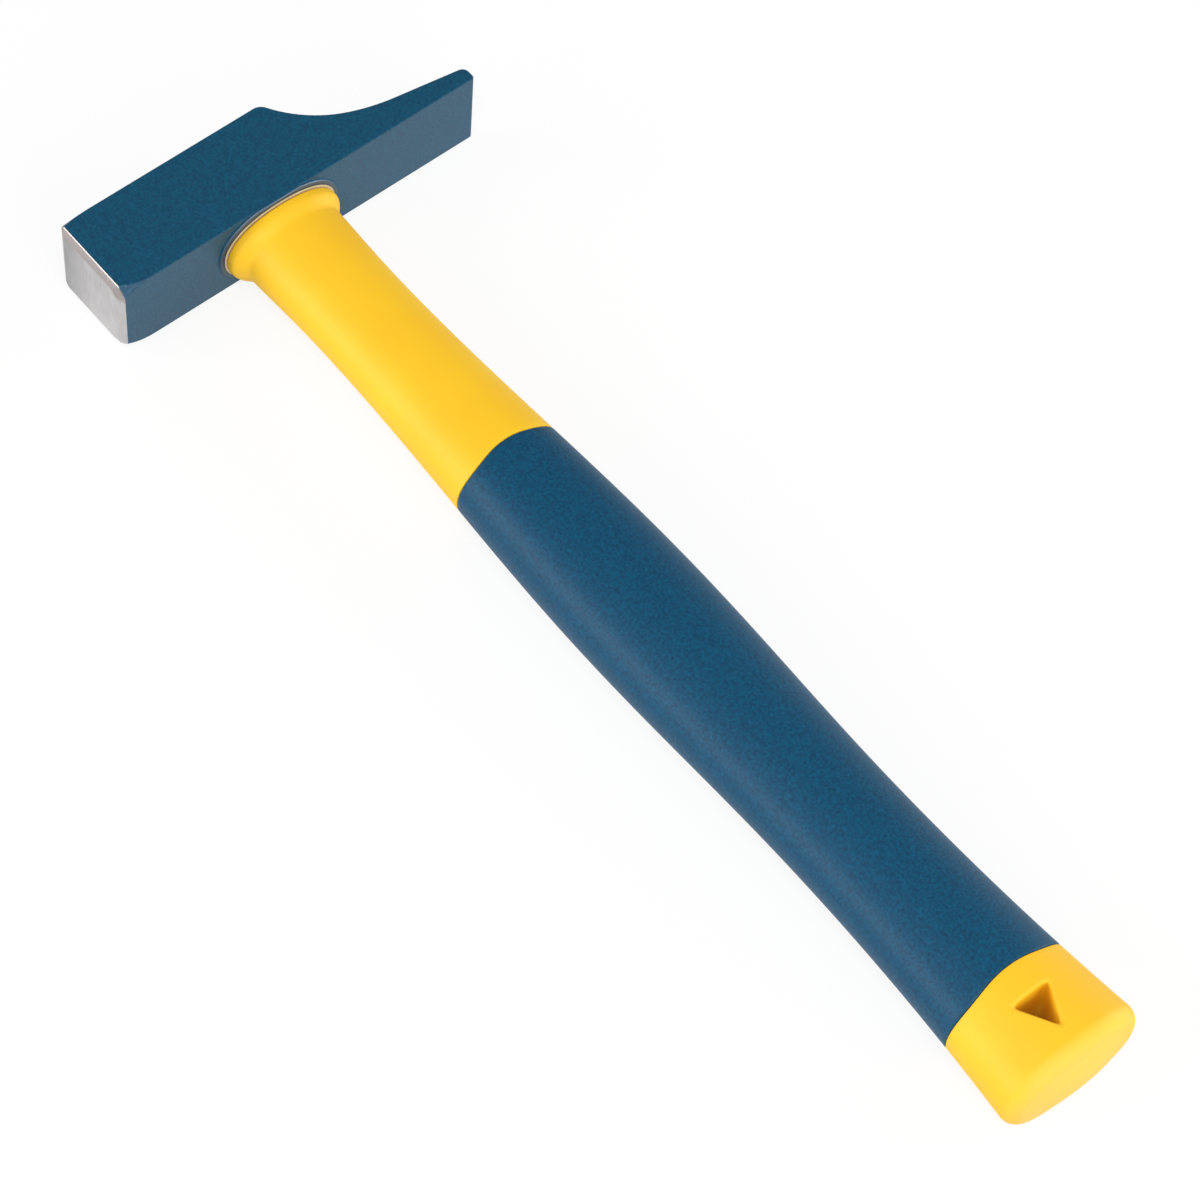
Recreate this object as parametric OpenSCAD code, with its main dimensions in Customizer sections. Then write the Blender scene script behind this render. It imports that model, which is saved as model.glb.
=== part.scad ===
// Cross-pein joiner's hammer with a two-colour fibreglass handle, lying on its cheek.
// +X runs down the handle from the head to the butt, +Y from the striking face to the pein,
// and +Z up through the head from cheek to cheek. Millimetres.
// The origin is on the lower cheek, under the centre of the eye.

/* [Head] */
// Thickness of the head from cheek to cheek
head_t = 27; // [24:0.5:34]
// Height of the head along the handle
head_h = 28.6; // [26:0.2:36]
// Length of the head from the striking face to the pein edge
head_l = 121.9; // [112:0.1:135]
// Distance from the striking face to the centre of the eye
face_to_eye = 53.1; // [48:0.1:56]
// Length of the straight part of the head's top before the shoulder
straight_l = 66.4; // [64:0.1:70]
// Radius of the shoulder where the top turns down to the pein
shoulder_r = 3.6; // [1.5:0.1:5]
// Steepest slope of the pein, just below the shoulder, in degrees
pein_slope = 59.4; // [50:0.2:65]
// Slope of the top of the pein near its edge, in degrees
pein_taper = 8.3; // [4:0.1:10]
// Thickness of the pein at its edge
pein_t = 4.9; // [3.5:0.1:7]
// Radius on the upper side of the pein edge
pein_r = 2.2; // [0.8:0.1:2.4]
// Radius on the lower side of the pein edge
pein_low_r = 0.9; // [0.4:0.1:1.2]

/* [Striking face] */
// Radius of the dome ground on the striking face
crown_r = 150; // [100:10:400]
// Width of the bevel ground round the striking face
face_bevel = 1.5; // [0.8:0.1:3]
// Width of the long bevels on the underside's corners where they meet the face
corner_bevel = 2.9; // [1.5:0.1:4]
// Width of the long bevels on the top's corners where they meet the face
top_bevel = 1.2; // [0.6:0.1:3]
// Length over which the long corner bevels run out
corner_run = 9; // [6:1:28]

/* [Eye] */
// Width of the eye along the head
eye_w = 27; // [24:0.5:29]
// Thickness of the eye across the head
eye_t = 14; // [12:0.5:15]
// Height of the raised pad round the eye, under the head
pad_h = 0.6; // [0.4:0.1:1.2]
// How far the pad stands out past the collar
pad_over = 1.8; // [1.5:0.1:3.5]

/* [Core and bond] */
// Width of the fibreglass core
core_w = 23; // [19:0.5:24]
// Thickness of the fibreglass core
core_t = 10; // [8:0.5:11]
// How far the core and its bond stop short of the top of the head
core_sink = 0.8; // [0.2:0.1:2]
// Distance from the end of the core to the hang hole
core_to_hole = 22; // [10:1:60]
// Height of the bond bead between the pad and the collar
bead_h = 0.5; // [0.4:0.1:1.2]
// How far the bead stands out past the collar
bead_over = 0.45; // [0.2:0.05:0.8]

/* [Handle length] */
// Distance from the underside of the head to the narrowest part of the neck
neck_at = 35.6; // [30:0.2:44]
// Distance from the underside of the head to the start of the grip
grip_at = 99.8; // [85:0.2:110]
// Distance from the underside of the head to the palm swell
palm_at = 157.6; // [145:0.2:170]
// Distance from the underside of the head to the waist of the grip
waist_at = 235.6; // [225:0.2:250]
// Distance from the underside of the head to the end of the grip
grip_end_at = 297.6; // [285:0.1:302]
// Distance from the underside of the head to the widest part of the butt
butt_at = 320.6; // [318:0.1:326]
// Distance from the underside of the head to the corner of the butt
handle_l = 325.1; // [325:0.1:340]

/* [Handle section] */
// Width of the handle just under the collar
stem_w = 31.2; // [29:0.2:34]
// Thickness of the handle just under the collar
stem_t = 22.6; // [20:0.2:25]
// Width of the neck
neck_w = 29.4; // [28:0.2:34]
// Thickness of the neck
neck_t = 22; // [20:0.2:25]
// Width of the palm swell
palm_w = 38.3; // [35:0.1:42]
// Thickness of the palm swell
palm_t = 27.6; // [25:0.2:30]
// Width of the waist of the grip
waist_w = 35; // [32:0.2:39]
// Thickness of the waist of the grip
waist_t = 25.6; // [23:0.2:28]
// Width of the butt
butt_w = 43.8; // [39:0.2:48]
// Thickness of the butt
butt_t = 29.4; // [26:0.2:33]
// Squareness of the handle's section: 2 is an ellipse and more is squarer
section_n = 2.2; // [2:0.1:3]

/* [Collar] */
// How far the collar stands out past the neck, along the head
collar_w = 2.9; // [1.5:0.1:4]
// How far the collar stands out past the neck, across the head
collar_t = 1; // [0.5:0.1:1.4]
// Height of the collar's rim before it sweeps into the neck
collar_rim = 1.9; // [1.2:0.1:5]
// Height of the whole collar
collar_h = 7; // [5:0.1:14]
// Radius on the collar's upper edge
collar_edge = 0.8; // [0.2:0.1:1]

/* [Grip and butt] */
// Thickness of the soft grip
grip_thk = 2.6; // [1.8:0.1:3.2]
// How far the ends of the grip arch towards the head on the broad sides
arch_h = 1.7; // [0:0.1:4]
// How much nearer the head the grip's ends lie on the pein side than in the middle
arch_skew = 0.4; // [0:0.1:1]
// Depth of the rounding at the grip's ends, which forms the joint line
lip = 0.4; // [0.1:0.1:0.8]
// Radius round the end of the butt
butt_r = 4.5; // [3:0.5:6]
// Height of the dome on the end of the butt
butt_crown = 2.2; // [0.5:0.1:4]
// Side of the hang hole nearest the head, measured along the handle from the butt's corner
hole_back = 20.2; // [17.5:0.1:24]
// Width of the hang hole at that side
hole_w = 12.2; // [9:0.2:16]
// Length of the hang hole along the handle
hole_l = 11.4; // [9:0.1:14]
// Radius in the corners of the hang hole
hole_r = 1; // [0.5:0.1:1.5]

/* [Fit] */
// Clearance left between moulded pieces, so that each stays its own solid
fit_gap = 0.04; // [0.02:0.01:0.1]

/* [Hidden] */

under_x = head_h / 2;
pad_x = under_x + pad_h;
collar_x = pad_x + bead_h;
neck_x = under_x + neck_at;
grip_x = under_x + grip_at;
palm_x = under_x + palm_at;
waist_x = under_x + waist_at;
grip_end_x = under_x + grip_end_at;
butt_x = under_x + butt_at;
corner_x = under_x + handle_l;
hole_x = corner_x - hole_back;
core_end_x = hole_x - core_to_hole;
mid_z = head_t / 2;
sides = 36;
over = 1;

function mix(a, b, t) = a + (b - a) * t;
function part_way(x, x0, x1) = min(max((x - x0) / (x1 - x0), 0), 1);
function ease(t) = (1 - cos(180 * t)) / 2;
function steps(a, b, n) = [for (i = [0:n]) mix(a, b, i / n)];
function swing(c, r, a0, a1, n) = [for (a = steps(a0, a1, n)) c + r * [sin(a), cos(a)]];

// The handle's outline: it narrows at the neck, swells in the palm and flares at the butt.
function spread(x, s, n, p, w, b) =
    x < neck_x ? mix(s, n, ease(part_way(x, under_x, neck_x))) / 2 :
    x < palm_x ? mix(n, p, ease(part_way(x, neck_x, palm_x))) / 2 :
    x < waist_x ? mix(p, w, ease(part_way(x, palm_x, waist_x))) / 2 :
    mix(w, b, pow(part_way(x, waist_x, butt_x), 2)) / 2;
function half_w(x) = spread(x, stem_w, neck_w, palm_w, waist_w, butt_w);
function half_t(x) = spread(x, stem_t, neck_t, palm_t, waist_t, butt_t);

function signed_pow(v, e) = sign(v) * pow(abs(v), e);
function section(a, b, q) = [a * signed_pow(cos(q), 2 / section_n), b * signed_pow(sin(q), 2 / section_n)];
function arch(q) = -arch_h * pow(sin(q), 8) - arch_skew * cos(q);
// The arch fades out towards the collar and the butt's end.
function arch_part(x) = ease(part_way(x, neck_x, grip_x)) * (1 - ease(part_way(x, grip_end_x, butt_x)));
// One ring of the handle, grown by gy across and gz through.
function ring(x, gy, gz) = [for (i = [0:sides - 1])
    let (q = 360 * i / sides, xs = x + arch(q) * arch_part(x), p = section(half_w(xs) + gy, half_t(xs) + gz, q))
    [xs, p[0], mid_z + p[1]]];
function scaled_ring(x, a, b) = [for (i = [0:sides - 1])
    let (p = section(a, b, 360 * i / sides)) [x, p[0], mid_z + p[1]]];

neck_xs = steps(collar_x + collar_h, grip_x, 13);
grip_xs = concat([grip_x, grip_x + 2 * lip], steps(grip_x + 5, grip_end_x - 5, 22), [grip_end_x - 2 * lip, grip_end_x]);
butt_xs = steps(grip_end_x, butt_x, 5);
flare_w = butt_w / 2;
flare_t = butt_t / 2;

// How much of the collar's overhang is left at a height h above its upper edge.
function collar_left(h) = 1 - ease(part_way(h, collar_rim, collar_h));

// A closed skin over a list of rings, with a point at the far end.
module skin(rings, tip) {
    m = len(rings);
    walls = [for (k = [0:m - 2]) for (i = [0:sides - 1])
        let (j = (i + 1) % sides, a = k * sides, b = a + sides)
        each [[a + i, b + j, a + j], [a + i, b + i, b + j]]];
    near = [[for (i = [0:sides - 1]) i]];
    far = [for (i = [0:sides - 1]) [(m - 1) * sides + i, m * sides, (m - 1) * sides + (i + 1) % sides]];
    polyhedron(concat([for (r = rings) each r], [tip]), concat(walls, near, far));
}

// A closed sleeve: the rings go down the outside and back up the inside.
module sleeve(rings) {
    m = len(rings);
    polyhedron([for (r = rings) each r], [for (k = [0:m - 1]) for (i = [0:sides - 1])
        let (j = (i + 1) % sides, a = k * sides, b = ((k + 1) % m) * sides)
        each [[a + i, b + j, a + j], [a + i, b + i, b + j]]]);
}

// Draws a flat shape across the handle at x and extrudes it towards the butt.
module across(x, l) {
    translate([x, 0, mid_z]) rotate([90, 0, 90]) linear_extrude(l) children();
}

module obround(w, t) {
    square([w - t, t], center = true);
    for (s = [-1, 1]) translate([s * (w - t) / 2, 0]) circle(d = t, $fn = 64);
}

// The pein's top is two blending hollows that start at the shoulder and end in a short taper.
pein_mid = 22.5;
hollow_k = 1.6;
hollow_a = cos(pein_mid) - cos(pein_slope) + hollow_k * (cos(pein_taper) - cos(pein_mid));
hollow_b = sin(pein_slope) - sin(pein_mid) + hollow_k * (sin(pein_mid) - sin(pein_taper));
shoulder_end = [straight_l + shoulder_r * sin(pein_slope), shoulder_r * (1 - cos(pein_slope))];
pein_drop = head_h - pein_t - shoulder_end[1];
pein_run = head_l - shoulder_end[0];
hollow_r = (pein_drop - tan(pein_taper) * pein_run) / (hollow_a - tan(pein_taper) * hollow_b);
hollow_c = shoulder_end + hollow_r * [sin(pein_slope), -cos(pein_slope)];
blend = hollow_c + hollow_r * [-sin(pein_mid), cos(pein_mid)];
blend_c = blend + hollow_k * hollow_r * [sin(pein_mid), -cos(pein_mid)];
tip_r = min(pein_r, pein_t / 2);
tip_low_r = min(pein_low_r, pein_t / 2);

// Side view of the head: first value from the striking face, second from the top of the head.
head_outline = concat(
    [[0, head_h], [0, 0]],
    swing([straight_l, shoulder_r], shoulder_r, 180, 180 - pein_slope, 6),
    swing(hollow_c, hollow_r, -pein_slope, -pein_mid, 8),
    swing(blend_c, hollow_k * hollow_r, -pein_mid + 3, -pein_taper, 8),
    swing([head_l - tip_r, head_h - pein_t + tip_r], tip_r, 180 - pein_taper, 90, 6),
    swing([head_l - tip_low_r, head_h - tip_low_r], tip_low_r, 90, 0, 4));

module bevel_wedge(w) {
    polyhedron(
        [[-over, -over, -over], [-over, w, -over], [-over, -over, w],
         [corner_run, -over, -over], [corner_run, 0, -over], [corner_run, -over, 0]],
        [[0, 1, 2], [3, 5, 4], [0, 3, 4, 1], [1, 4, 5, 2], [2, 5, 3, 0]]);
}

module head_blank() {
    linear_extrude(head_t)
        polygon([for (p = head_outline) [p[1] - under_x, p[0] - face_to_eye]]);
}

module head() {
    color("#1f4f70") difference() {
        union() {
            intersection() {
                head_blank();
                translate([0, crown_r - face_to_eye, mid_z]) sphere(crown_r, $fn = 96);
            }
            intersection() {
                across(under_x - over, over + pad_h)
                    polygon([for (i = [0:sides * 2 - 1]) section(
                        half_w(collar_x) + collar_w + pad_over, half_t(collar_x) + collar_t + pad_over, 180 * i / sides)]);
                translate([0, -face_to_eye, 0]) cube([head_h, head_l, head_t]);
            }
        }
        across(-head_h, head_h * 2) obround(eye_w, eye_t);
        // bevels round the striking face
        for (s = [-1, 1]) {
            translate([s * under_x, -face_to_eye, mid_z]) rotate([0, 0, 45])
                cube([face_bevel * sqrt(2), face_bevel * sqrt(2), head_t * 2], center = true);
            translate([0, -face_to_eye, mid_z + s * mid_z]) rotate([45, 0, 0])
                cube([head_h * 2, face_bevel * sqrt(2), face_bevel * sqrt(2)], center = true);
        }
        // long bevels that run out along the four corners
        for (sx = [0, 1], sz = [0, 1])
            translate([sx * head_h - under_x, -face_to_eye, sz * head_t]) mirror([sx, 0, 0]) mirror([0, 0, sz])
                multmatrix([[0, 1, 0, 0], [1, 0, 0, 0], [0, 0, 1, 0]])
                    bevel_wedge(sx == 0 ? top_bevel : corner_bevel);
    }
}

module core() {
    color("#d9cfae") across(core_sink - under_x, core_end_x - core_sink + under_x)
        obround(core_w - 2 * fit_gap, core_t - 2 * fit_gap);
}

module bond() {
    color("#e6d3b0") difference() {
        union() {
            across(core_sink - under_x, collar_x - fit_gap + under_x - core_sink)
                obround(eye_w - 2 * fit_gap, eye_t - 2 * fit_gap);
            across(pad_x + fit_gap, bead_h - 2 * fit_gap)
                polygon([for (i = [0:sides * 2 - 1]) section(
                    half_w(collar_x) + collar_w + bead_over, half_t(collar_x) + collar_t + bead_over, 180 * i / sides)]);
        }
        across(-head_h, head_h * 2) obround(core_w, core_t);
    }
}

module jacket() {
    color("#f9c52b") difference() {
        skin(concat(
            [ring(collar_x, collar_w - collar_edge, collar_t - collar_edge / 2)],
            [for (h = [collar_edge, collar_rim]) ring(collar_x + h, collar_w, collar_t)],
            [for (h = steps(collar_rim + 0.6, collar_h - 0.6, 7))
                ring(collar_x + h, collar_w * collar_left(h), collar_t * collar_left(h))],
            [for (x = neck_xs) ring(x, 0, 0)],
            [for (x = grip_xs) ring(x, -grip_thk, -grip_thk)],
            [for (x = butt_xs) ring(x, 0, 0)],
            [for (a = steps(15, 90, 5)) scaled_ring(corner_x - butt_r * (1 - sin(a)),
                flare_w - butt_r * (1 - cos(a)), flare_t - butt_r * (1 - cos(a)))],
            [for (s = [0.75, 0.5, 0.25]) scaled_ring(corner_x + butt_crown * (1 - s * s),
                s * (flare_w - butt_r), s * (flare_t - butt_r))]),
            [corner_x + butt_crown, 0, mid_z]);
        across(under_x, core_end_x - under_x) obround(core_w, core_t);
        hang_hole();
    }
}

// A triangle with rounded corners that points at the butt's end.
module hang_hole() {
    half_angle = atan(hole_w / 2 / hole_l);
    inner_w = hole_w / 2 - hole_r * (1 + sin(half_angle)) / cos(half_angle);
    inner_l = hole_l - hole_r / sin(half_angle);
    corners = concat(
        swing([hole_x + hole_r, inner_w], hole_r, -90, half_angle, 4),
        swing([hole_x + inner_l, 0], hole_r, half_angle, 180 - half_angle, 4),
        swing([hole_x + hole_r, -inner_w], hole_r, 180 - half_angle, 270, 4));
    translate([0, 0, mid_z - butt_t]) linear_extrude(2 * butt_t) polygon(corners);
}

module grip() {
    inside = [for (k = [len(grip_xs) - 1:-1:0]) ring(grip_xs[k], fit_gap - grip_thk, fit_gap - grip_thk)];
    outside = [for (k = [0:len(grip_xs) - 1])
        let (end = k == 0 || k == len(grip_xs) - 1) ring(grip_xs[k], end ? -lip : 0, end ? -lip : 0)];
    color("#1d5878") sleeve(concat(outside, inside));
}

head();
core();
bond();
jacket();
grip();
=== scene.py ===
"""Looks for a cross-pein joiner's hammer: forged and painted head, bonded two-colour handle."""

import math

import bmesh
import bpy
from mathutils import Matrix, Vector


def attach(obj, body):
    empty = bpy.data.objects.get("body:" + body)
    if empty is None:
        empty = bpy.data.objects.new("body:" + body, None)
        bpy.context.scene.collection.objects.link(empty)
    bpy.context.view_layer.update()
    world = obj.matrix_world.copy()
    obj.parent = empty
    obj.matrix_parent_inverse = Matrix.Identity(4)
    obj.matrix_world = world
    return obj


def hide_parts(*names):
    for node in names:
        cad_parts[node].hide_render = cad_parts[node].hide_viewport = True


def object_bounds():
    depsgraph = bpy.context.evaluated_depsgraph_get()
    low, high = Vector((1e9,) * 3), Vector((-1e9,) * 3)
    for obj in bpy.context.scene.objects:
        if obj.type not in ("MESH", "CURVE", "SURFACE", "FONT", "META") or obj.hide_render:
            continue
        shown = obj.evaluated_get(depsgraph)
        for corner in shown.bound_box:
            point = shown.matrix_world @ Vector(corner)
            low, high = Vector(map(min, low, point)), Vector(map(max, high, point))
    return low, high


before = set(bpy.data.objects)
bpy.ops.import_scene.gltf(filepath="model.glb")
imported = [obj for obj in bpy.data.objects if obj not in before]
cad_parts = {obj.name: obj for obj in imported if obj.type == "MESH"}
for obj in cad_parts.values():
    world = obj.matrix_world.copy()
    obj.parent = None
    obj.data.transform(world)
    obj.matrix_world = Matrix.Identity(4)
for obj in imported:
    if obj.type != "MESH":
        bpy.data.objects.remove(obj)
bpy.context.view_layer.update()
MM = 0.001

# Sizes in millimetres, the same as the CAD's. +X runs down the handle, +Y from face to pein, +Z up.
HEAD_T, HEAD_H, HEAD_L, FACE_TO_EYE = 27.0, 28.6, 121.9, 53.1
STRAIGHT_L, SHOULDER_R, PEIN_SLOPE, PEIN_MID, PEIN_TAPER = 66.4, 3.6, 59.4, 22.5, 8.3
PEIN_T, PEIN_R, PEIN_LOW_R, HOLLOW_K = 4.9, 2.2, 0.9, 1.6
CORNER_BEVEL, TOP_BEVEL, CORNER_RUN = 2.9, 1.2, 9.0
EYE_W, EYE_T, PAD_H, PAD_OVER = 27.0, 14.0, 0.6, 1.8
CORE_W, CORE_T, CORE_SINK, BEAD_H, BEAD_OVER = 23.0, 10.0, 0.8, 0.5, 0.45
STEM, NECK, PALM, WAIST, BUTT = (31.2, 22.6), (29.4, 22.0), (38.3, 27.6), (35.0, 25.6), (43.8, 29.4)
COLLAR_W, COLLAR_T, COLLAR_RIM, COLLAR_H, COLLAR_EDGE = 2.9, 1.0, 1.9, 7.0, 0.8
GRIP_THK, ARCH_H, ARCH_SKEW, LIP, SQUARENESS = 2.6, 1.7, 0.4, 0.4, 2.2
BUTT_R, BUTT_CROWN, HOLE_BACK, HOLE_W, HOLE_L, HOLE_RIM = 4.5, 2.2, 20.2, 12.2, 11.4, 1.1
UNDER = HEAD_H / 2
PAD_X = UNDER + PAD_H
COLLAR_X = PAD_X + BEAD_H
NECK_X, GRIP_X, PALM_X, WAIST_X = UNDER + 35.6, UNDER + 99.8, UNDER + 157.6, UNDER + 235.6
GRIP_END_X, BUTT_X, CORNER_X = UNDER + 297.6, UNDER + 320.6, UNDER + 325.1
HOLE_X = CORNER_X - HOLE_BACK
CORE_TO_HOLE = 22.0
CORE_END_X = HOLE_X - CORE_TO_HOLE
MID_Z = HEAD_T / 2
# How deep the bare steel of the striking face goes, and its bevel's width and depth.
FACE_DEPTH, BAND, BAND_RISE = 1.6, 2.2, 1.38
LONG_EDGE = 0.4  # rounding of the forging's long edges
FIT = 0.04  # gap between neighbouring pieces
SAME = 1e-7  # metres within which two points are one
LEVEL = 1e-6  # metres within which a point lies on a plane
AROUND = 96  # vertices in a ring round the handle
SHARP = 32  # degrees past which an edge is left unsmoothed


# ---------------------------------------------------------------- shape of the handle

def mix(a, b, t):
    return a + (b - a) * t


def part_way(x, x0, x1):
    return min(max((x - x0) / (x1 - x0), 0.0), 1.0)


def ease(t):
    return (1 - math.cos(math.pi * t)) / 2


def half_size(x, k):
    """Half the handle's width (k 0) or thickness (k 1) at x, without the collar."""
    if x < NECK_X:
        return mix(STEM[k], NECK[k], ease(part_way(x, UNDER, NECK_X))) / 2
    if x < PALM_X:
        return mix(NECK[k], PALM[k], ease(part_way(x, NECK_X, PALM_X))) / 2
    if x < WAIST_X:
        return mix(PALM[k], WAIST[k], ease(part_way(x, PALM_X, WAIST_X))) / 2
    return mix(WAIST[k], BUTT[k], part_way(x, WAIST_X, BUTT_X) ** 2) / 2


def oval(a, b, turn):
    """A point on the handle's squared oval of half-sizes a and b."""
    c, s = math.cos(turn), math.sin(turn)
    e = 2 / SQUARENESS
    return math.copysign(abs(c) ** e, c) * a, math.copysign(abs(s) ** e, s) * b


def arched(x, turn):
    """The grip's ends arch towards the head on the broad sides, and this fades out to both ends."""
    fade = ease(part_way(x, NECK_X, GRIP_X)) * (1 - ease(part_way(x, GRIP_END_X, BUTT_X)))
    return x - (ARCH_H * math.sin(turn) ** 8 + ARCH_SKEW * math.cos(turn)) * fade


def on_handle(x, grow_w=0.0, grow_t=0.0):
    """Places a ring's vertices round the handle at x, grown by so many millimetres."""
    def place(turn):
        at = arched(x, turn)
        y, z = oval(half_size(at, 0) + grow_w, half_size(at, 1) + grow_t, turn)
        return Vector((at, y, MID_Z + z))
    return place


def on_oval(x, a, b):
    """Places a ring flat across the handle's axis, with half-sizes a and b."""
    def place(turn):
        y, z = oval(a, b, turn)
        return Vector((x, y, MID_Z + z))
    return place


def on_obround(x, w, t):
    """Places a ring round a slot shape, w wide and t thick."""
    def place(turn):
        y, z = math.cos(turn) * t / 2, math.sin(turn) * t / 2
        side = max(-1.0, min(1.0, 3 * math.cos(turn)))
        return Vector((x, y + side * (w - t) / 2, MID_Z + z))
    return place


# ---------------------------------------------------------------- mesh helpers

def start_ring(bm, count):
    """An open ring of vertices, each of which remembers its turn."""
    turn = bm.verts.layers.float.new("turn")
    made = bmesh.ops.create_circle(bm, cap_ends=False, radius=1.0, segments=count)
    for v in made["verts"]:
        v[turn] = math.atan2(v.co.y, v.co.x)
    return turn, list(bm.edges)


def put_ring(edges, turn, place):
    for v in {v for e in edges for v in e.verts}:
        v.co = place(v[turn]) * MM


def draw_out(bm, edges, turn, place):
    """Extrudes a ring of edges and places the new ring."""
    made = bmesh.ops.extrude_edge_only(bm, edges=edges)["geom"]
    fresh = {g for g in made if isinstance(g, bmesh.types.BMVert)}
    ring = [g for g in made if isinstance(g, bmesh.types.BMEdge) and set(g.verts) <= fresh]
    put_ring(ring, turn, place)
    return ring


def close_to_point(bm, edges, turn, point):
    """Extrudes a ring to one point."""
    ring = draw_out(bm, edges, turn, lambda t: Vector(point))
    bmesh.ops.remove_doubles(bm, verts=list({v for e in ring for v in e.verts}), dist=SAME)


def loft(name, places, closed, count=AROUND, tip=None):
    """A skin through rings: closed joins the last ring to the first, tip ends it in a point."""
    bm = bmesh.new()
    turn, first = start_ring(bm, count)
    put_ring(first, turn, places[0])
    ring = first
    for place in places[1:]:
        ring = draw_out(bm, ring, turn, place)
    if closed:
        bmesh.ops.bridge_loops(bm, edges=first + ring)
    else:
        bmesh.ops.contextual_create(bm, geom=first)
        if tip is None:
            bmesh.ops.contextual_create(bm, geom=ring)
        else:
            close_to_point(bm, ring, turn, tip)
    return finish_mesh(name, bm)


def finish_mesh(name, bm):
    """Turns a bmesh into an object with outward faces, smooth but for its sharp edges."""
    bmesh.ops.remove_doubles(bm, verts=bm.verts[:], dist=SAME)
    bmesh.ops.recalc_face_normals(bm, faces=bm.faces[:])
    for f in bm.faces:
        f.smooth = True
    mesh = bpy.data.meshes.new(name)
    bm.to_mesh(mesh)
    bm.free()
    mesh.set_sharp_from_angle(angle=math.radians(SHARP))
    piece = bpy.data.objects.new(name, mesh)
    bpy.context.scene.collection.objects.link(piece)
    return piece


def cut(piece, tool, operation="DIFFERENCE"):
    """Cuts (or joins) one solid with another and keeps the result as the piece's own mesh."""
    step = piece.modifiers.new("cut", "BOOLEAN")
    step.operation = operation
    step.solver = "EXACT"
    step.object = tool
    graph = bpy.context.evaluated_depsgraph_get()
    shaped = bpy.data.meshes.new_from_object(piece.evaluated_get(graph))
    piece.modifiers.clear()
    piece.data = shaped
    bpy.data.objects.remove(tool)


def smooth_by_angle(piece, sharp):
    piece.data.set_sharp_from_angle(angle=math.radians(sharp))


def even_flats(piece):
    """Keeps broad flat faces flat beside their small rounded edges."""
    step = piece.modifiers.new("flats", "WEIGHTED_NORMAL")
    step.keep_sharp = True
    return piece


# ---------------------------------------------------------------- jacket: collar, neck, tube, butt

def rows(x0, x1, step):
    """Even steps from x0 to x1, about as long as asked."""
    n = max(1, round((x1 - x0) / step))
    return [mix(x0, x1, i / n) for i in range(n + 1)]


def collar_places():
    """The collar's rounded rim, then its curve down to the neck."""
    edge = COLLAR_EDGE
    rounded = [on_handle(COLLAR_X + edge * (1 - math.cos(a)), COLLAR_W - edge * (1 - math.sin(a)),
                         COLLAR_T - edge / 2 * (1 - math.sin(a)))
               for a in rows(0.0, math.pi / 2, 0.3)]
    sweep = []
    for x in rows(COLLAR_RIM, COLLAR_H, 0.3):
        left = 1 - ease(part_way(x, COLLAR_RIM, COLLAR_H))
        sweep.append(on_handle(COLLAR_X + x, COLLAR_W * left, COLLAR_T * left))
    return rounded + sweep


def jacket_piece():
    """One skin: up the bore, over the collar, along the tube under the grip, and round the butt."""
    wall, seam, dip = GRIP_THK, 0.02, 0.06
    core = [on_obround(CORE_END_X, CORE_W, CORE_T), on_obround(COLLAR_X, CORE_W, CORE_T)]
    neck = [on_handle(x) for x in rows(COLLAR_X + COLLAR_H + 2, GRIP_X - 2, 2.5)]
    near_lip = [on_handle(GRIP_X - 0.5), on_handle(GRIP_X - 0.2, -dip, -dip),
                on_handle(GRIP_X - seam, -LIP, -LIP)]
    under_grip = [GRIP_X - seam] + rows(GRIP_X + 4, GRIP_END_X - 4, 6) + [GRIP_END_X + seam]
    tube = [on_handle(x, -wall, -wall) for x in under_grip]
    far_lip = [on_handle(GRIP_END_X + seam, -LIP, -LIP), on_handle(GRIP_END_X + 0.2, -dip, -dip),
               on_handle(GRIP_END_X + 0.5)]
    flare = [on_handle(x) for x in rows(GRIP_END_X + 1.5, BUTT_X - 0.5, 1.0)]
    a, b = BUTT[0] / 2, BUTT[1] / 2
    round_end = [on_oval(CORNER_X - BUTT_R * (1 - math.sin(t)), a - BUTT_R * (1 - math.cos(t)),
                         b - BUTT_R * (1 - math.cos(t)))
                 for t in rows(0.0, math.radians(84), math.radians(7))]
    # The crown's rings are shares of its size, closest together by the rounded edge.
    dome = [on_oval(CORNER_X + BUTT_CROWN * (1 - s * s), s * (a - BUTT_R), s * (b - BUTT_R))
            for s in [0.96, 0.9, 0.82, 0.72, 0.6, 0.46, 0.32, 0.18, 0.08]]
    places = core + collar_places() + neck + near_lip + tube + far_lip + flare + round_end + dome
    jacket = loft("jacket", places, closed=False, tip=(CORNER_X + BUTT_CROWN, 0, MID_Z))
    cut(jacket, hang_hole_tool())
    smooth_by_angle(jacket, 34)
    return jacket


def triangle_edge(turn, grow):
    """The hang hole's outline: a soft-cornered triangle that points at the butt's end."""
    inner = HOLE_W / math.sqrt(12)
    softness = 6
    sides = (math.pi, math.pi / 3, -math.pi / 3)
    pull = sum(max(0.0, math.cos(turn - side)) ** softness for side in sides) ** (1 / softness)
    reach = (inner + grow) / pull
    stretch = HOLE_L / (HOLE_W * math.sqrt(3) / 2)
    return HOLE_X + stretch * (inner + reach * math.cos(turn)), reach * math.sin(turn)


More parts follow.
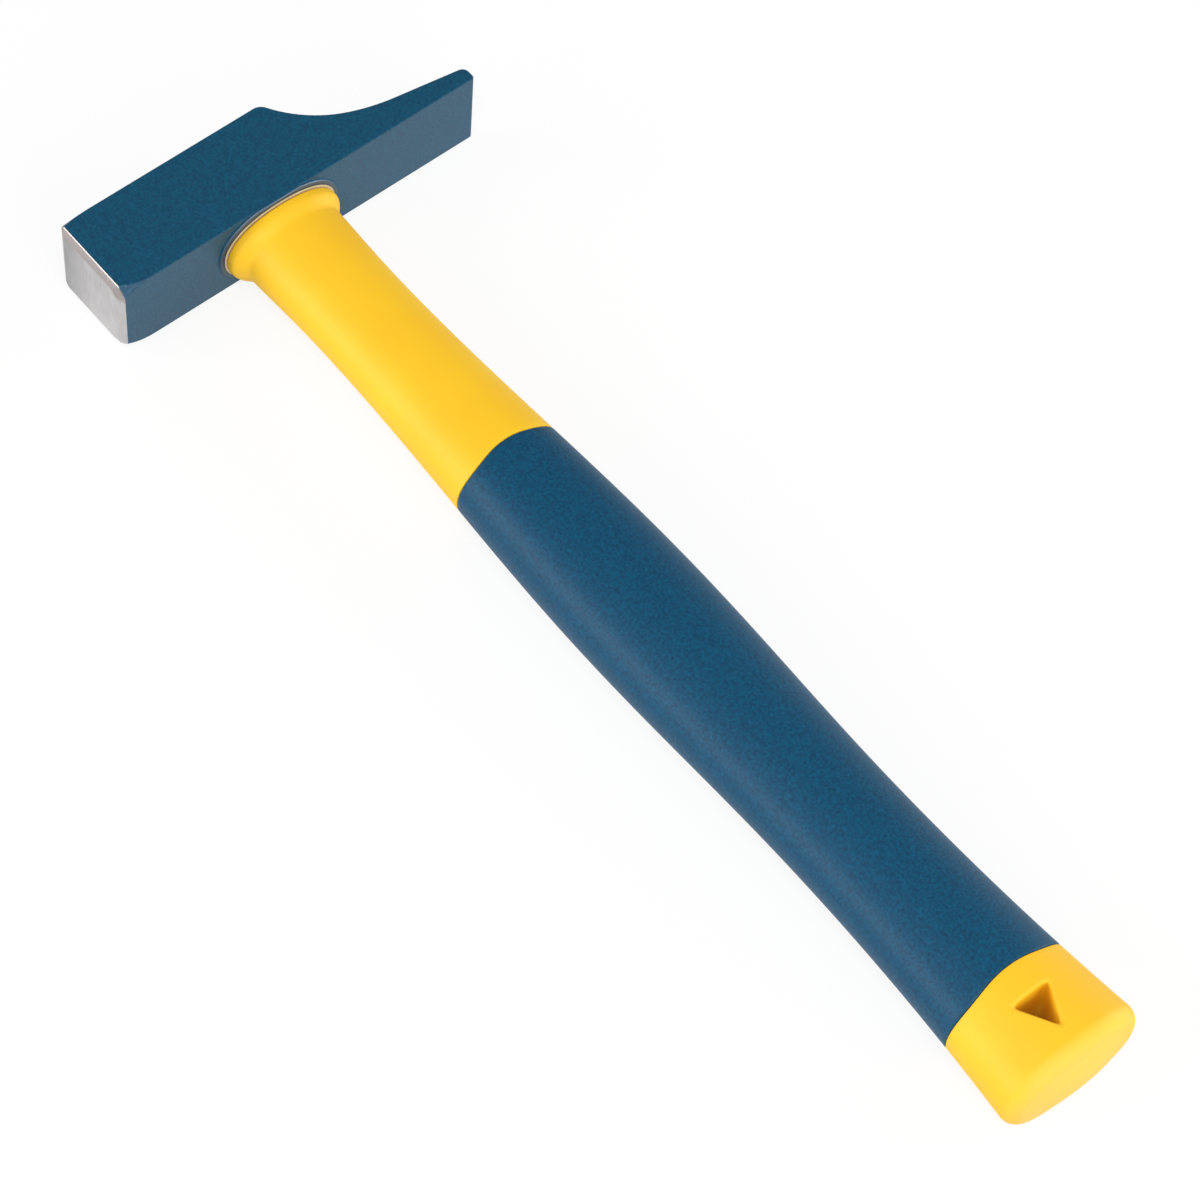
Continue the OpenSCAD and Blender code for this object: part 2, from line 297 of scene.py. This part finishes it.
def hang_hole_tool():
    """The hole with a flared mouth at both ends, so that its rims come out rounded."""
    def at(side, depth, grow):
        def place(turn):
            x, y = triangle_edge(turn, grow)
            a, b = half_size(x, 0), half_size(x, 1)
            rise = b * (1 - (abs(y) / a) ** SQUARENESS) ** (1 / SQUARENESS)
            return Vector((x, y, MID_Z + side * (rise - depth)))
        return place
    steps = [math.radians(d) for d in (0, 15, 30, 45, 58, 70)]
    mouth = [(HOLE_RIM * (1 - math.sin(t)), HOLE_RIM * (1 - math.cos(t))) for t in steps]
    # The tool stands proud of the surface, so that the mouth is cut clean.
    mouth.append((-1.5, HOLE_RIM * 1.9))
    places = [at(1, d, g) for d, g in reversed(mouth)] + [at(-1, d, g) for d, g in mouth]
    return loft("hang_hole_tool", places, closed=False, count=72)


# ---------------------------------------------------------------- grip

def grip_piece():
    """A sleeve whose ends roll down over a soft lip."""
    # Each pair is a distance in from the end and how far the surface is below the handle's there.
    ends = [(0.0, LIP), (0.12, 0.16), (0.35, 0.03), (0.7, 0.0)]
    near = [on_handle(GRIP_X + x, -g, -g) for x, g in ends]
    far = [on_handle(GRIP_END_X - x, -g, -g) for x, g in reversed(ends)]
    outside = near + [on_handle(x) for x in rows(GRIP_X + 2, GRIP_END_X - 2, 2.0)] + far
    inner = FIT - GRIP_THK
    along = [GRIP_X] + rows(GRIP_X + 4, GRIP_END_X - 4, 6) + [GRIP_END_X]
    inside = [on_handle(x, inner, inner) for x in reversed(along)]
    return loft("grip", outside + inside, closed=True)


# ---------------------------------------------------------------- bond and core

def bond_piece():
    """Epoxy: a plug round the core with a dished top, and the bead squeezed out under the head."""
    w, t, dish = EYE_W - 2 * FIT, EYE_T - 2 * FIT, 0.25
    top = CORE_SINK - UNDER
    a = half_size(COLLAR_X, 0) + COLLAR_W + BEAD_OVER
    b = half_size(COLLAR_X, 1) + COLLAR_T + BEAD_OVER
    r = BEAD_H / 2 - FIT
    bead = [on_oval(PAD_X + BEAD_H / 2 - r * math.cos(u), a - r + r * math.sin(u),
                    b - r + r * math.sin(u))
            for u in rows(0.0, math.pi, math.pi / 8)]
    outside = [on_obround(top + 0.05, w - 0.6, t - 0.6), on_obround(top, w, t),
               on_obround(PAD_X + FIT, w, t)]
    inside = [on_obround(COLLAR_X - FIT, CORE_W, CORE_T), on_obround(top + dish, CORE_W, CORE_T),
              on_obround(top + dish, CORE_W + 1.2, CORE_T + 1.2)]
    return loft("bond", outside + bead + inside, closed=True)


# ---------------------------------------------------------------- head

def arc(centre, r, a0, a1, n):
    """Points on an arc, with each angle taken from the second axis towards the first."""
    turns = [math.radians(mix(a0, a1, i / n)) for i in range(n + 1)]
    return [(centre[0] + r * math.sin(t), centre[1] + r * math.cos(t)) for t in turns]


def head_outline():
    """Side view of the head as (distance from the face, depth below the top)."""
    sl, md, tp = (math.radians(d) for d in (PEIN_SLOPE, PEIN_MID, PEIN_TAPER))
    full = math.cos(md) - math.cos(sl) + HOLLOW_K * (math.cos(tp) - math.cos(md))
    along = math.sin(sl) - math.sin(md) + HOLLOW_K * (math.sin(md) - math.sin(tp))
    start = (STRAIGHT_L + SHOULDER_R * math.sin(sl), SHOULDER_R * (1 - math.cos(sl)))
    drop, run = HEAD_H - PEIN_T - start[1], HEAD_L - start[0]
    r = (drop - math.tan(tp) * run) / (full - math.tan(tp) * along)
    c1 = (start[0] + r * math.sin(sl), start[1] - r * math.cos(sl))
    c2 = (c1[0] + (HOLLOW_K - 1) * r * math.sin(md), c1[1] - (HOLLOW_K - 1) * r * math.cos(md))
    return ([(0.0, HEAD_H), (0.0, 0.0)]
            + arc((STRAIGHT_L, SHOULDER_R), SHOULDER_R, 180, 180 - PEIN_SLOPE, 8)
            + arc(c1, r, -PEIN_SLOPE, -PEIN_MID, 12)[1:]
            + arc(c2, HOLLOW_K * r, -PEIN_MID + 2, -PEIN_TAPER, 12)
            + arc((HEAD_L - PEIN_R, HEAD_H - PEIN_T + PEIN_R), PEIN_R, 180 - PEIN_TAPER, 90, 6)
            + arc((HEAD_L - PEIN_LOW_R, HEAD_H - PEIN_LOW_R), PEIN_LOW_R, 90, 0, 4))


def head_piece():
    """The forging before its eye is cut: side view, thickness, long edges."""
    edge = LONG_EDGE
    bm = bmesh.new()
    corners = [bm.verts.new(Vector((v - UNDER, u - FACE_TO_EYE, 0)) * MM)
               for u, v in head_outline()]
    grown = bmesh.ops.extrude_face_region(bm, geom=[bm.faces.new(corners)])["geom"]
    upper = [g for g in grown if isinstance(g, bmesh.types.BMVert)]
    bmesh.ops.translate(bm, verts=upper, vec=(0, 0, HEAD_T * MM))
    bmesh.ops.recalc_face_normals(bm, faces=bm.faces[:])
    # The corner bevels run out along these cuts.
    for run in (0.15, 0.3, 0.45, 0.6, 0.8, 1.0):
        at = (0, (FACE_DEPTH + CORNER_RUN * run - FACE_TO_EYE) * MM, 0)
        bmesh.ops.bisect_plane(bm, geom=bm.verts[:] + bm.edges[:] + bm.faces[:], dist=SAME,
                               plane_co=at, plane_no=(0, 1, 0))
    face_y = -FACE_TO_EYE * MM
    long_edges = [e for e in bm.edges
                  if abs(abs(e.verts[0].co.z - MID_Z * MM) - MID_Z * MM) < LEVEL
                  and abs(e.verts[0].co.z - e.verts[1].co.z) < LEVEL and len(e.link_faces) == 2
                  and abs(e.link_faces[0].normal.dot(e.link_faces[1].normal)) < 0.5
                  and not all(abs(v.co.y - face_y) < LEVEL for v in e.verts)]
    bmesh.ops.bevel(bm, geom=long_edges, offset=edge * MM, offset_type="OFFSET", segments=4,
                    profile=0.5, affect="EDGES", material=-1, clamp_overlap=False)
    # Towards the face each of the four rounded corners opens out to its full bevel.
    for v in bm.verts:
        run = part_way(v.co.y / MM, FACE_DEPTH - FACE_TO_EYE, FACE_DEPTH + CORNER_RUN - FACE_TO_EYE)
        full = CORNER_BEVEL if v.co.x > 0 else TOP_BEVEL  # the top's corners are less ground away
        open_out = mix(full / edge, 1.0, 1 - (1 - run) ** 2)
        short = [UNDER * MM - abs(v.co.x), MID_Z * MM - abs(v.co.z - MID_Z * MM)]
        # A wide bevel is flatter than the rounding that it grew from.
        if run < 1 and max(short) < edge * MM * 1.01:
            flatten = 0.85 * (1 - run) * (edge * MM - sum(short)) / 2
            short = [(s + flatten) * open_out for s in short]
            v.co.x = math.copysign(UNDER * MM - short[0], v.co.x)
            v.co.z = MID_Z * MM + math.copysign(MID_Z * MM - short[1], v.co.z - MID_Z * MM)
    return bm, face_y


def add_face(bm, face_y):
    """The ground striking face: a broken edge, a broad bevel all round, then a low dome."""
    face = [f for f in bm.faces if all(abs(v.co.y - face_y) < LEVEL for v in f.verts)]
    middle = Vector((0, face_y, MID_Z * MM))
    outer = list({v for f in face for v in f.verts})
    bmesh.ops.translate(bm, verts=outer, vec=(0, FACE_DEPTH * MM, 0))
    dome = FACE_DEPTH - BAND_RISE
    # Each step is a distance in from the edge and how far the face has risen there.
    soft = 0.3
    steps = [(0.05, 0.12), (soft, 0.4), (BAND, BAND_RISE - 0.03), (BAND + soft, BAND_RISE)]
    inner = UNDER - BAND - soft
    steps += [(UNDER - inner * share, BAND_RISE + dome * (1 - share ** 2))
              for share in (0.85, 0.68, 0.48, 0.26)]
    before = 0.0
    for inset, rise in steps:
        bmesh.ops.inset_region(bm, faces=face, thickness=0.02 * MM, use_even_offset=True,
                               use_boundary=True)
        rim = list({v for f in face for v in f.verts})
        by = [1.0, 1.0, 1.0]
        for axis, half in ((0, UNDER), (2, MID_Z)):
            reach = max(abs(v.co[axis] - middle[axis]) for v in rim) / MM
            by[axis] = (half - inset * half / UNDER) / reach
        bmesh.ops.scale(bm, verts=rim, vec=by, space=Matrix.Translation(-middle))
        bmesh.ops.translate(bm, verts=rim, vec=(0, (before - rise) * MM, 0))
        before = rise


def pad_solid():
    """The low pad round the eye, with a soft edge and trimmed flush with both cheeks."""
    below_cheek = 0.02

    def trimmed(x, g):
        whole = on_oval(x, a - g, b - g)

        def place(turn):
            at = whole(turn)
            flush = MID_Z - below_cheek - g
            at.z = MID_Z + max(-flush, min(flush, at.z - MID_Z))
            return at
        return place

    a = half_size(COLLAR_X, 0) + COLLAR_W + PAD_OVER
    b = half_size(COLLAR_X, 1) + COLLAR_T + PAD_OVER
    soft = [(PAD_H * math.sin(t), PAD_H * (1 - math.cos(t)))
            for t in rows(0.0, math.pi / 2, math.pi / 10)]
    places = [trimmed(UNDER - 2, 0.0)] + [trimmed(UNDER + h, g) for h, g in soft]
    return loft("pad", places, closed=False)


def eye_tool():
    """The eye, with a small countersink at the top."""
    # Each pair is a depth below the top and how much wider the opening is there.
    sunk = [(-1, 3), (0, 1.2), (0.25, 0.5), (0.7, 0)]
    places = [on_obround(-UNDER + depth, EYE_W + wider, EYE_T + wider) for depth, wider in sunk]
    places.append(on_obround(PAD_X + 2, EYE_W, EYE_T))
    return loft("eye_tool", places, closed=False)


def whole_head():
    """The forging with its ground face, its pad and its eye."""
    bm, face_y = head_piece()
    add_face(bm, face_y)
    head = finish_mesh("head", bm)
    cut(head, pad_solid(), "UNION")
    cut(head, eye_tool())
    smooth_by_angle(head, 30)
    return even_flats(head)


# ---------------------------------------------------------------- materials

def linear(code):
    """An sRGB hex colour as linear numbers, opaque."""
    parts = [int(code[i:i + 2], 16) / 255 for i in (1, 3, 5)]
    return [p / 12.92 if p <= 0.04045 else ((p + 0.055) / 1.055) ** 2.4 for p in parts] + [1.0]


def add(tree, kind, settings=None, out=0):
    """Adds a node and returns one of its outputs.

    Each setting is a link from another node, a property or the value of a socket. The stops of
    a colour ramp are pairs of a position and a hex colour.
    """
    node = tree.nodes.new(kind)
    for key, value in (settings or {}).items():
        if key == "stops":
            for stop, (position, colour) in zip(node.color_ramp.elements, value):
                stop.position, stop.color = position, linear(colour)
        elif isinstance(value, bpy.types.NodeSocket):
            tree.links.new(value, node.inputs[key])
        elif isinstance(key, str) and hasattr(node, key):
            setattr(node, key, value)
        else:
            node.inputs[key].default_value = value
    return node.outputs[out] if node.outputs else node


def new_material(name):
    """A material with an unset surface shader. Its patterns are placed by object coordinates."""
    material = bpy.data.materials.new(name)
    material.use_nodes = True
    tree = material.node_tree
    tree.nodes.clear()
    surface = add(tree, "ShaderNodeBsdfPrincipled")
    add(tree, "ShaderNodeOutputMaterial", {"Surface": surface})
    return material, tree, surface.node, add(tree, "ShaderNodeTexCoord", out="Object")


def spots(size_mm):
    """The noise scale that gives spots of about this many millimetres."""
    spot_at_scale_1 = 0.7  # metres
    return spot_at_scale_1 / (size_mm * MM)


def between(low, high, most=1.0):
    """Map Range limits, in millimetres, over which a value goes from 0 to the given most."""
    return {"From Min": low * MM, "From Max": high * MM, "To Max": most}


def painted_forging():
    """Dark blue stoving enamel on forged steel, with the striking face ground bare."""
    material, tree, surface, place = new_material("stoving_enamel_on_forged_steel")
    x, y, z = add(tree, "ShaderNodeSeparateXYZ", {"Vector": place}).node.outputs
    face = -FACE_TO_EYE
    paint_edge = face + FACE_DEPTH
    # The edge of the paint wanders by a twentieth of a millimetre.
    flecks = add(tree, "ShaderNodeTexNoise", {"Vector": place, "Scale": spots(1.6), "Detail": 3})
    ragged = add(tree, "ShaderNodeMapRange", {"Value": flecks, "From Min": 0.3, "From Max": 0.7,
                                              "To Min": -0.05 * MM, "To Max": 0.05 * MM})
    edge = add(tree, "ShaderNodeMath", {"operation": "ADD", 0: y, 1: ragged})
    bare = add(tree, "ShaderNodeMapRange",
               {"Value": edge, **between(paint_edge + 0.06, paint_edge - 0.06)})
    # The enamel has a fine orange-peel grain, about half a millimetre across.
    peel = add(tree, "ShaderNodeTexNoise", {"Vector": place, "Scale": spots(0.55), "Detail": 2})
    paint = add(tree, "ShaderNodeValToRGB",
                {"Fac": peel, "stops": [(0.32, "#003e5b"), (0.7, "#00506d")]})
    # Round the eye the pad's edge is painted pale towards the upper cheek, a painted highlight.
    upper = add(tree, "ShaderNodeMapRange", {"Value": z, **between(MID_Z + 4, HEAD_T - 2)})
    on_pad = add(tree, "ShaderNodeMapRange", {"Value": x, **between(UNDER + 0.2, UNDER + 0.3)})
    # Painted highlight: the pad's edge is lighter on its upper side only.
    painted_pad_highlight = add(tree, "ShaderNodeMath", {"operation": "MULTIPLY", 0: on_pad, 1: upper})
    paint = add(tree, "ShaderNodeMix",
                {"data_type": "RGBA", "Factor": painted_pad_highlight, 6: paint, 7: linear("#5f7486")}, 2)
    # Painted shade: beside the bead, the pad's top is painted grey.
    painted_bead_shade = add(tree, "ShaderNodeMapRange",
                {"Value": x, **between(PAD_X - 0.15, PAD_X - 0.05, 0.8)})
    paint = add(tree, "ShaderNodeMix",
                {"data_type": "RGBA", "Factor": painted_bead_shade, 6: paint, 7: linear("#44494c")}, 2)
    # The grinding wheel leaves faint streaks on the bare steel. The face is painted darker near the
    # top of the head and lighter towards its middle, a painted reflection.
    # The streaks of the real grit are under 0.1 mm wide, and are drawn coarser here to show.
    stretch = add(tree, "ShaderNodeMapping", {"Scale": (1, 1, 0.12), "Vector": place})
    lines = add(tree, "ShaderNodeTexNoise", {"Vector": stretch, "Scale": spots(0.6), "Detail": 3})
    patches = add(tree, "ShaderNodeTexNoise", {"Vector": place, "Scale": spots(4.0), "Detail": 3})
    shaded_steel = add(tree, "ShaderNodeValToRGB",
               {"Fac": patches, "stops": [(0.3, "#848383"), (0.7, "#999898")]})
    broad = add(tree, "ShaderNodeTexNoise", {"Vector": place, "Scale": spots(9.0), "Detail": 3})
    lit_steel = add(tree, "ShaderNodeValToRGB",
               {"Fac": broad, "stops": [(0.3, "#bcbaba"), (0.7, "#cbc9c9")]})
    # Painted reflection: darker steel at the top of the head, lighter from its middle on.
    painted_reflection = add(tree, "ShaderNodeMapRange", {"Value": x, **between(-UNDER, 0.0)})
    steel = add(tree, "ShaderNodeMix",
                {"data_type": "RGBA", "Factor": painted_reflection, 6: shaded_steel, 7: lit_steel}, 2)
    streak = add(tree, "ShaderNodeMapRange",
                 {"Value": lines, "From Min": 0.42, "From Max": 0.64, "To Max": 0.16})
    steel = add(tree, "ShaderNodeMix",
                {"data_type": "RGBA", "Factor": streak, 6: steel, 7: linear("#868484")}, 2)
    # The bevel along the cheek was ground by hand and stayed duller than the face.
    set_back = add(tree, "ShaderNodeMapRange", {"Value": y, **between(face + 0.2, face + 0.3)})
    by_cheek = add(tree, "ShaderNodeMapRange", {"Value": z, **between(21.5, 23.5)})
    on_band = add(tree, "ShaderNodeMath", {"operation": "MULTIPLY", 0: set_back, 1: by_cheek})
    steel = add(tree, "ShaderNodeMix",
                {"data_type": "RGBA", "Factor": on_band, 6: steel, 7: linear("#a9a19f")}, 2)
    colour = add(tree, "ShaderNodeMix",
                 {"data_type": "RGBA", "Factor": bare, 6: paint, 7: steel}, 2)
    # The enamel is satin, and the ground steel a little shinier.
    shine = add(tree, "ShaderNodeMix", {"data_type": "FLOAT", "Factor": bare, 2: 0.42, 3: 0.34})
    relief = add(tree, "ShaderNodeMix", {"data_type": "FLOAT", "Factor": bare, 2: peel, 3: lines})
    bump = add(tree, "ShaderNodeBump",
               {"Strength": 0.3, "Distance": 0.03 * MM, "Height": relief})
    surface.inputs["Specular IOR Level"].default_value = 0.45
    for socket, source in (("Base Color", colour), ("Metallic", bare), ("Roughness", shine),
                           ("Normal", bump)):
        tree.links.new(source, surface.inputs[socket])
    return material


def yellow_polypropylene():
    """Injection-moulded polypropylene, semi-gloss, with a light spark-eroded texture."""
    material, tree, surface, place = new_material("moulded_yellow_polypropylene")
    fine = add(tree, "ShaderNodeTexNoise", {"Vector": place, "Scale": spots(0.35), "Detail": 2})
    clouds = add(tree, "ShaderNodeTexNoise", {"Vector": place, "Scale": spots(18.0), "Detail": 2})
    colour = add(tree, "ShaderNodeValToRGB",
                 {"Fac": clouds, "stops": [(0.3, "#fac210"), (0.7, "#fcc814")]})
    # Painted shade: the collar's edge under the bead is painted dark brown.
    along = add(tree, "ShaderNodeSeparateXYZ", {"Vector": place}, "X")
    painted_joint_shade = add(tree, "ShaderNodeMapRange",
               {"Value": along, **between(COLLAR_X + 0.4, COLLAR_X + 0.15, 0.8)})
    colour = add(tree, "ShaderNodeMix",
                 {"data_type": "RGBA", "Factor": painted_joint_shade, 6: colour, 7: linear("#5d4313")}, 2)
    # The last few millimetres of the end are painted paler in cloudy patches, a painted sheen.
    near_end = add(tree, "ShaderNodeMapRange",
                   {"Value": along, **between(CORNER_X - 5, CORNER_X + 0.5, 0.5)})
    patchy = add(tree, "ShaderNodeMapRange", {"Value": clouds, "From Min": 0.2, "From Max": 0.5})
    painted_end_sheen = add(tree, "ShaderNodeMath", {"operation": "MULTIPLY", 0: near_end, 1: patchy})
    colour = add(tree, "ShaderNodeMix",
                 {"data_type": "RGBA", "Factor": painted_end_sheen, 6: colour, 7: linear("#f9d06a")}, 2)
    bump = add(tree, "ShaderNodeBump",
               {"Strength": 0.18, "Distance": 0.02 * MM, "Height": fine})
    surface.inputs["Roughness"].default_value = 0.58
    surface.inputs["Specular IOR Level"].default_value = 0.58
    tree.links.new(colour, surface.inputs["Base Color"])
    tree.links.new(bump, surface.inputs["Normal"])
    return material


def blue_grip_rubber():
    """Thermoplastic rubber moulded over the jacket: matt, with a grain that can be felt."""
    material, tree, surface, place = new_material("thermoplastic_rubber")
    fine = add(tree, "ShaderNodeTexNoise", {"Vector": place, "Scale": spots(0.6), "Detail": 3})
    colour = add(tree, "ShaderNodeValToRGB",
                 {"Fac": fine, "stops": [(0.3, "#003b59"), (0.72, "#005273")]})
    bump = add(tree, "ShaderNodeBump", {"Strength": 0.7, "Distance": 0.1 * MM, "Height": fine})
    surface.inputs["Roughness"].default_value = 0.5
    surface.inputs["Specular IOR Level"].default_value = 0.3
    tree.links.new(colour, surface.inputs["Base Color"])
    tree.links.new(bump, surface.inputs["Normal"])
    return material


def cream_epoxy():
    """Two-part epoxy, cured cream and a little glossy."""
    material, tree, surface, place = new_material("cured_epoxy")
    clouds = add(tree, "ShaderNodeTexNoise", {"Vector": place, "Scale": spots(2.5), "Detail": 3})
    colour = add(tree, "ShaderNodeValToRGB",
                 {"Fac": clouds, "stops": [(0.3, "#c2ab80"), (0.7, "#d4bf96")]})
    surface.inputs["Roughness"].default_value = 0.32
    tree.links.new(colour, surface.inputs["Base Color"])
    return material


def pultruded_fibreglass():
    """Pultruded glass fibre: straw-coloured resin, with the rovings' cut ends as specks."""
    material, tree, surface, place = new_material("pultruded_fibreglass")
    stretch = add(tree, "ShaderNodeMapping", {"Scale": (0.04, 1, 1), "Vector": place})
    specks = add(tree, "ShaderNodeTexNoise", {"Vector": stretch, "Scale": spots(0.5), "Detail": 3})
    colour = add(tree, "ShaderNodeValToRGB",
                 {"Fac": specks, "stops": [(0.35, "#b59a5c"), (0.65, "#e4d6a8")]})
    bump = add(tree, "ShaderNodeBump",
               {"Strength": 0.4, "Distance": 0.05 * MM, "Height": specks})
    surface.inputs["Roughness"].default_value = 0.5
    tree.links.new(colour, surface.inputs["Base Color"])
    tree.links.new(bump, surface.inputs["Normal"])
    return material


# ---------------------------------------------------------------- studio

def studio_floor():
    """White paper. What looks at it sees it nearly white, with the hammer's shadow softened."""
    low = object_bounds()[0][2]
    bm = bmesh.new()
    # Wide enough, in metres, that a low view doesn't see its edge.
    bmesh.ops.create_grid(bm, x_segments=1, y_segments=1, size=20.0)
    bmesh.ops.translate(bm, verts=bm.verts[:], vec=(0.15, 0, low))
    floor = finish_mesh("floor", bm)
    material, tree, surface, _ = new_material("matt_white_paper")
    surface.inputs["Roughness"].default_value = 0.9
    surface.inputs["Specular IOR Level"].default_value = 0.0
    rays = add(tree, "ShaderNodeLightPath").node.outputs
    seen = rays["Is Camera Ray"]
    for kind in ("Is Glossy Ray", "Is Transmission Ray"):
        seen = add(tree, "ShaderNodeMath", {"operation": "MAXIMUM", 0: seen, 1: rays[kind]})
    tint = add(tree, "ShaderNodeMix", {"data_type": "RGBA", "Factor": seen,
                                       6: linear("#dcdcdc"), 7: linear("#ffffff")}, 2)
    tree.links.new(tint, surface.inputs["Base Color"])
    # The rest of what is seen is lit by the lamps and holds the shadow.
    plain = add(tree, "ShaderNodeMath", {"operation": "MULTIPLY", 0: seen, 1: 0.86})
    white = add(tree, "ShaderNodeEmission", {"Color": linear("#ffffff"), "Strength": 1.0})
    mixed = add(tree, "ShaderNodeMixShader", {0: plain, 1: surface.outputs[0], 2: white})
    out = [node for node in tree.nodes if node.type == "OUTPUT_MATERIAL"][0]
    tree.links.new(mixed, out.inputs["Surface"])
    floor.data.materials.append(material)


def turned_to(away):
    """The turn of a lamp or camera whose back is towards away."""
    return away.to_track_quat("Z", "Y").to_matrix().to_4x4()


def softbox(name, where, size, watts):
    """A rectangular lamp aimed at the middle of the hammer."""
    middle = Vector((0.15, 0, 0.01))
    lamp = bpy.data.lights.new(name, "AREA")
    lamp.shape = "RECTANGLE"
    lamp.size, lamp.size_y = size
    lamp.energy = watts
    box = bpy.data.objects.new(name, lamp)
    box.matrix_world = Matrix.Translation(where) @ turned_to(Vector(where) - middle)
    bpy.context.scene.collection.objects.link(box)


def studio_world(strength):
    """Even white light from all round, at this strength."""
    world = bpy.data.worlds.new("studio")
    world.use_nodes = True
    tree = world.node_tree
    tree.nodes.clear()
    plain = add(tree, "ShaderNodeBackground", {"Color": linear("#ffffff"), "Strength": strength})
    add(tree, "ShaderNodeOutputWorld", {"Surface": plain})
    bpy.context.scene.world = world


def camera(aim, distance, azimuth, elevation, roll, lens):
    """Looks at a point from so many millimetres away."""
    turn, rise = math.radians(azimuth), math.radians(elevation)
    flat = math.cos(rise)
    away = Vector((flat * math.cos(turn), flat * math.sin(turn), math.sin(rise)))
    eye = bpy.data.cameras.new("camera")
    eye.sensor_width = 36.0
    eye.lens = lens
    view = bpy.data.objects.new("camera", eye)
    view.matrix_world = (Matrix.Translation((Vector(aim) + away * distance) * MM)
                         @ turned_to(away) @ Matrix.Rotation(math.radians(roll), 4, "Z"))
    bpy.context.scene.collection.objects.link(view)
    bpy.context.scene.camera = view


# ---------------------------------------------------------------- the whole hammer

pieces = (
    ("forged_head", whole_head(), "head", "head_paint", painted_forging()),
    ("moulded_jacket", jacket_piece(), "jacket", "jacket_plastic", yellow_polypropylene()),
    ("rubber_grip", grip_piece(), "grip", "grip_rubber", blue_grip_rubber()),
    ("epoxy_bond", bond_piece(), "bond", "bond_epoxy", cream_epoxy()),
)
for name, piece, node, slot, material in pieces:
    piece.name = name
    piece.data.materials.clear()
    piece.data.materials.append(material)
    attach(piece, "root")
    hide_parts(node)
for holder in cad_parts["core"].material_slots:
    holder.material = pultruded_fibreglass()

studio_floor()
studio_world(0.25)
softbox("key", (-0.51, -1.33, 0.6), (1.6, 0.8), 17.5)
softbox("fill", (0.63, 1.45, 0.48), (1.4, 0.8), 14)
softbox("end", (1.59, -0.16, 0.67), (1.2, 0.8), 11)
softbox("front", (0.62, -0.45, 1.45), (0.6, 0.6), 9)
camera(aim=(160.8, -6.13, 13.5), distance=1157.7, azimuth=-44.54, elevation=58.64, roll=5.82,
       lens=132.5)
bpy.context.scene.view_settings.view_transform = "Standard"
